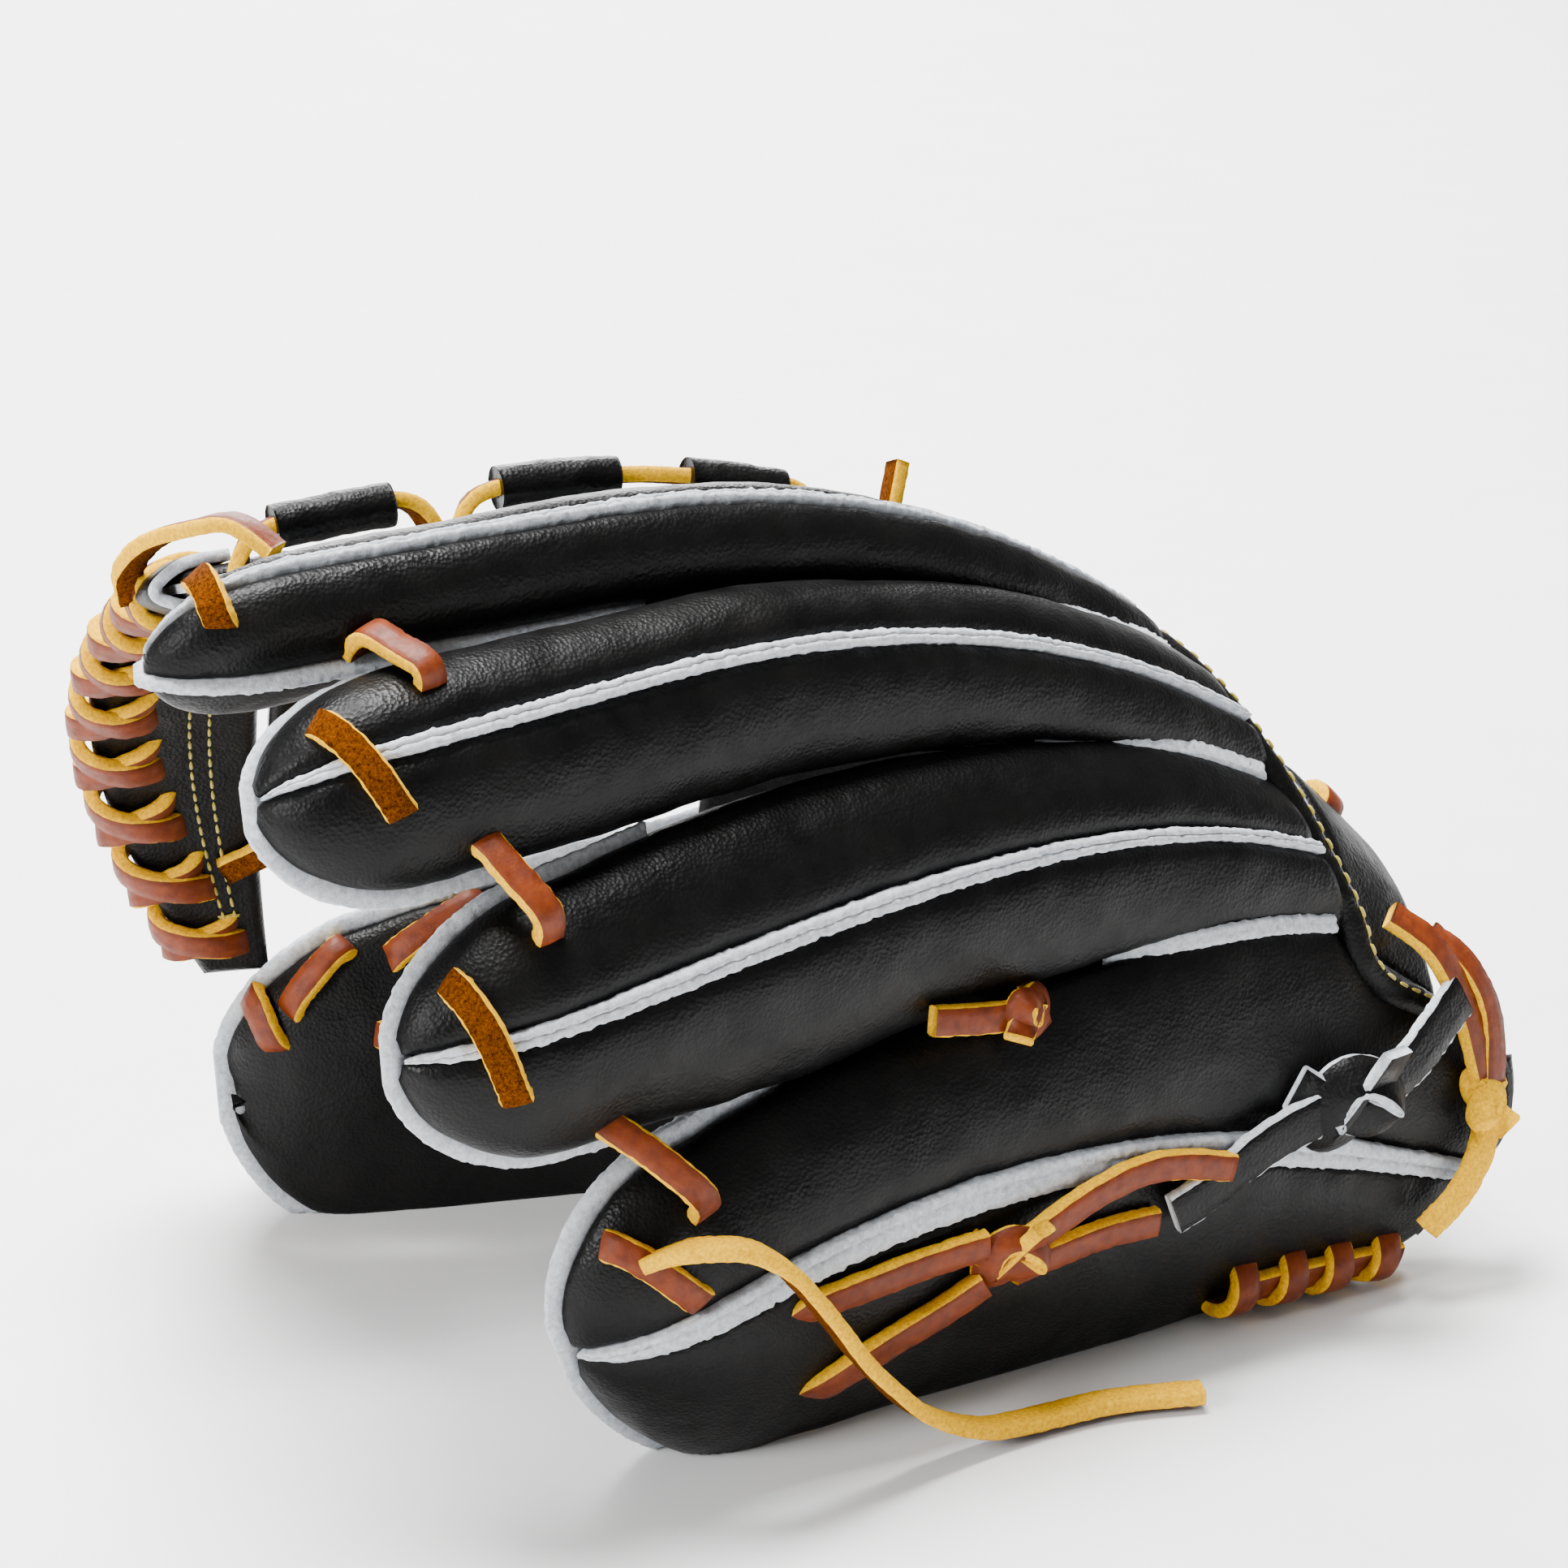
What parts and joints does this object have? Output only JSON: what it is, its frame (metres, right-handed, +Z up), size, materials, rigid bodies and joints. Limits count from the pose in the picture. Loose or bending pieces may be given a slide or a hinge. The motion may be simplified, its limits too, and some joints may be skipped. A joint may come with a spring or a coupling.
{
  "type": "baseball glove",
  "caption": "Left-hand fielder's glove of black leather with pale welts and brown laces, standing like an arch on its pinky side and thumb.",
  "frame": {"origin": "middle of the glove's footprint, on the ground that it stands on", "axes": "+X from the fingertips to the heel, -Y the pinky side, +Y the thumb side, +Z up"},
  "size_m": [0.269, 0.1782, 0.1713],
  "materials": {
    "black_leather": "smooth grain, semi-gloss",
    "rawhide_welt": "fuzzy cut split leather",
    "lace_grain": "smooth brown face with yellow cut edges",
    "lace_suede": "rough suede flesh side",
    "lace_edge": "yellow cut edge and flesh side",
    "felt": "pressed felt",
    "lining_leather": "soft matte lining"
  },
  "bodies": {
    "fingers": {"index_back": "black_leather", "middle_back": "black_leather", "ring_back": "black_leather", "pinky_back": "black_leather", "index_back_welt": "rawhide_welt", "middle_back_welt": "rawhide_welt", "ring_back_welt": "rawhide_welt", "pinky_back_welt": "rawhide_welt", "index_edge_welt": "rawhide_welt", "middle_edge_welt": "rawhide_welt", "ring_edge_welt": "rawhide_welt", "pinky_edge_welt": "rawhide_welt", "crotch_welts": "rawhide_welt", "index_palm": "black_leather", "middle_palm": "black_leather", "ring_palm": "black_leather", "pinky_palm": "black_leather", "pinky_heel": "black_leather", "palm_felt": "felt", "pinky_felt": "felt", "finger_linings": "lining_leather", "wrist_binding": "black_leather", "pinky_heel_binding": "black_leather", "pinky_wrist_strap": "black_leather", "index_tip_lace": "lace_suede", "middle_tip_lace": "lace_suede", "ring_tip_lace": "lace_suede", "pinky_tip_lace": "lace_grain", "finger_bridge_laces": "lace_grain", "pinky_loop_lace": "lace_grain", "knotted_strap": "black_leather", "palm_anchor_lace": "lace_grain", "pinky_heel_lace": "lace_grain", "heel_corner_laces": "lace_grain", "heel_knot_lace": "lace_edge", "pinky_lace_tail": "lace_edge"},
    "web": {"palm_pocket": "black_leather", "strap_lace": "lace_grain", "web_crown_bar": "black_leather", "web_inner_bar": "black_leather", "web_cross_bar": "black_leather", "web_base": "black_leather", "web_edge_lace": "lace_grain", "web_lace_tubes": "black_leather", "web_index_lace": "lace_grain", "index_corner_tab": "black_leather", "index_corner_lace": "lace_grain", "thumb_side_lace": "lace_grain"},
    "thumb": {"thumb_back": "black_leather", "thumb_back_welt": "rawhide_welt", "thumb_edge_welt": "rawhide_welt", "thumb_palm": "black_leather", "thumb_heel": "black_leather", "thumb_felt": "felt", "thumb_lining": "lining_leather", "thumb_heel_binding": "black_leather", "thumb_wrist_strap": "black_leather", "thumb_heel_lace": "lace_grain", "thumb_palm_laces": "lace_grain"}
  },
  "joints": [
    {"name": "web_fold", "type": "hinge", "parent": "fingers", "child": "web", "pos_m": [-0.115, -0.008, 0.162], "axis": [-0.9502, -0.018, 0.3111], "range_deg": [-4, 8]},
    {"name": "thumb_fold", "type": "hinge", "parent": "web", "child": "thumb", "pos_m": [-0.09, 0.072, 0.057], "axis": [-0.9463, 0.1791, -0.2691], "range_deg": [-4, 8]}
  ],
  "couplings": [
    {"joint": "thumb_fold", "follows": "web_fold", "ratio": 1}
  ]
}
